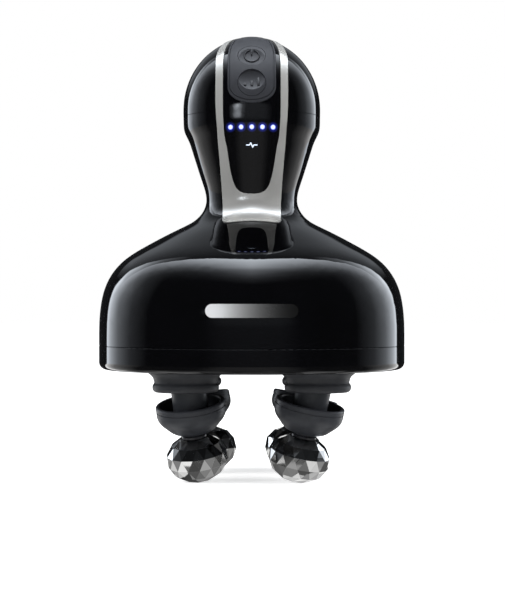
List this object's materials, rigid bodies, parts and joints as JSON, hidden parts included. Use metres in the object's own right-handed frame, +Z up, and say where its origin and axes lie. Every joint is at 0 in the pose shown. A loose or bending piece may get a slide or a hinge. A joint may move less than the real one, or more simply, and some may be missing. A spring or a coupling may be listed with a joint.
{
  "type": "electric scalp massager",
  "caption": "Handheld scalp massager: a knob-shaped handle on a round base, with kneading heads that end in faceted metal balls, a trim loop, keys and status lights.",
  "frame": {"origin": "bottom centre of the object standing on its balls, on the axis of the round body", "axes": "+Z up along the body's axis, -Y out of the front with the keys, +X to the right seen from the front"},
  "size_m": [0.11, 0.11, 0.1589],
  "materials": {
    "gloss_black": "high gloss, moulded",
    "gloss_black_base": "gloss, moulded",
    "seal_rubber": "matte",
    "screw_steel": "plain",
    "satin_silver": "satin",
    "panel_black": "high gloss, tinted",
    "pad_rubber": "fine matte",
    "key_rubber": "fine matte",
    "light_white": "clear, lit blue-white",
    "sign_lens": "clear, lit blue-white",
    "bar_silver": "polished satin",
    "board_green": "solder mask",
    "switch_black": "moulded",
    "chip_white": "moulded",
    "cell_wrap": "shrink wrap",
    "cradle_black": "moulded",
    "tab_nickel": "plain",
    "contact_gold": "plated",
    "motor_steel": "zinc plated",
    "plate_grey": "glass-filled",
    "bush_brass": "sintered",
    "retainer_white": "moulded",
    "gear_white": "moulded",
    "boot_rubber": "matte",
    "stem_plastic": "satin",
    "cup_matte": "soft-touch coat",
    "ring_black": "satin",
    "ball_chrome": "polished facets"
  },
  "bodies": {
    "case": {"main_housing": "gloss_black", "handle_cap": "gloss_black", "base_cover": "gloss_black_base", "base_seal": "seal_rubber", "cover_screws": "screw_steel", "trim_frame": "satin_silver", "display_panel": "panel_black", "button_pad": "pad_rubber", "light_guide": "light_white", "mode_window": "sign_lens", "front_bar": "bar_silver", "key_board": "board_green", "key_switches": "switch_black", "main_board": "board_green", "status_leds": "chip_white", "battery_cell": "cell_wrap", "battery_cradle": "cradle_black", "battery_tabs": "tab_nickel", "charge_pins": "contact_gold", "charge_block": "cradle_black", "gearhead": "motor_steel", "motor_can": "motor_steel", "motor_screws": "screw_steel", "gearbox_plate": "plate_grey", "gearbox_screws": "screw_steel", "crank_bushes": "bush_brass", "socket_retainers": "retainer_white", "boot_front_left": "boot_rubber", "boot_front_right": "boot_rubber", "boot_rear_left": "boot_rubber", "boot_rear_right": "boot_rubber"},
    "sun": {"sun_gear": "gear_white", "output_shaft": "motor_steel"},
    "power_key": {"power_button": "key_rubber"},
    "level_key": {"level_button": "key_rubber"},
    "crank_front_left": {"crank_gear_front_left": "gear_white"},
    "head_front_left": {"stem_front_left": "stem_plastic", "cup_front_left": "cup_matte", "neck_ring_front_left": "ring_black", "electrode_front_left": "ball_chrome"},
    "crank_front_right": {"crank_gear_front_right": "gear_white"},
    "head_front_right": {"stem_front_right": "stem_plastic", "cup_front_right": "cup_matte", "neck_ring_front_right": "ring_black", "electrode_front_right": "ball_chrome"},
    "crank_rear_left": {"crank_gear_rear_left": "gear_white"},
    "head_rear_left": {"stem_rear_left": "stem_plastic", "cup_rear_left": "cup_matte", "neck_ring_rear_left": "ring_black", "electrode_rear_left": "ball_chrome"},
    "crank_rear_right": {"crank_gear_rear_right": "gear_white"},
    "head_rear_right": {"stem_rear_right": "stem_plastic", "cup_rear_right": "cup_matte", "neck_ring_rear_right": "ring_black", "electrode_rear_right": "ball_chrome"}
  },
  "joints": [
    {"name": "sun_spin", "type": "hinge", "parent": "case", "child": "sun", "pos_m": [0, 0, 0.05], "axis": [0, 0, 1], "continuous": true},
    {"name": "power_press", "type": "slide", "parent": "case", "child": "power_key", "axis": [0, 0.866, -0.5], "range_m": [0, 0.0008], "stiffness_N_per_m": 1500},
    {"name": "level_press", "type": "slide", "parent": "case", "child": "level_key", "axis": [0, 0.866, -0.5], "range_m": [0, 0.0008], "stiffness_N_per_m": 1500},
    {"name": "crank_front_left_spin", "type": "hinge", "parent": "case", "child": "crank_front_left", "pos_m": [-0.02298, -0.02298, 0.05], "axis": [0, 0, 1], "continuous": true},
    {"name": "head_front_left_bearing", "type": "hinge", "parent": "crank_front_left", "child": "head_front_left", "pos_m": [-0.02298, -0.02298, 0.03986], "axis": [-0.1173, -0.2116, 0.9703], "continuous": true},
    {"name": "crank_front_right_spin", "type": "hinge", "parent": "case", "child": "crank_front_right", "pos_m": [0.02298, -0.02298, 0.05], "axis": [0, 0, 1], "continuous": true},
    {"name": "head_front_right_bearing", "type": "hinge", "parent": "crank_front_right", "child": "head_front_right", "pos_m": [0.02298, -0.02298, 0.03986], "axis": [0.1982, -0.1388, 0.9703], "continuous": true},
    {"name": "crank_rear_left_spin", "type": "hinge", "parent": "case", "child": "crank_rear_left", "pos_m": [-0.02298, 0.02298, 0.05], "axis": [0, 0, 1], "continuous": true},
    {"name": "head_rear_left_bearing", "type": "hinge", "parent": "crank_rear_left", "child": "head_rear_left", "pos_m": [-0.02298, 0.02298, 0.03986], "axis": [-0.2029, 0.1318, 0.9703], "continuous": true},
    {"name": "crank_rear_right_spin", "type": "hinge", "parent": "case", "child": "crank_rear_right", "pos_m": [0.02298, 0.02298, 0.05], "axis": [0, 0, 1], "continuous": true},
    {"name": "head_rear_right_bearing", "type": "hinge", "parent": "crank_rear_right", "child": "head_rear_right", "pos_m": [0.02298, 0.02298, 0.03986], "axis": [0.2287, 0.0788, 0.9703], "continuous": true}
  ],
  "couplings": [
    {"joint": "crank_front_left_spin", "follows": "sun_spin", "ratio": -1.3214},
    {"joint": "head_front_left_bearing", "follows": "sun_spin", "ratio": 1.3214},
    {"joint": "crank_front_right_spin", "follows": "sun_spin", "ratio": -1.3214},
    {"joint": "head_front_right_bearing", "follows": "sun_spin", "ratio": 1.3214},
    {"joint": "crank_rear_left_spin", "follows": "sun_spin", "ratio": -1.3214},
    {"joint": "head_rear_left_bearing", "follows": "sun_spin", "ratio": 1.3214},
    {"joint": "crank_rear_right_spin", "follows": "sun_spin", "ratio": -1.3214},
    {"joint": "head_rear_right_bearing", "follows": "sun_spin", "ratio": 1.3214}
  ]
}
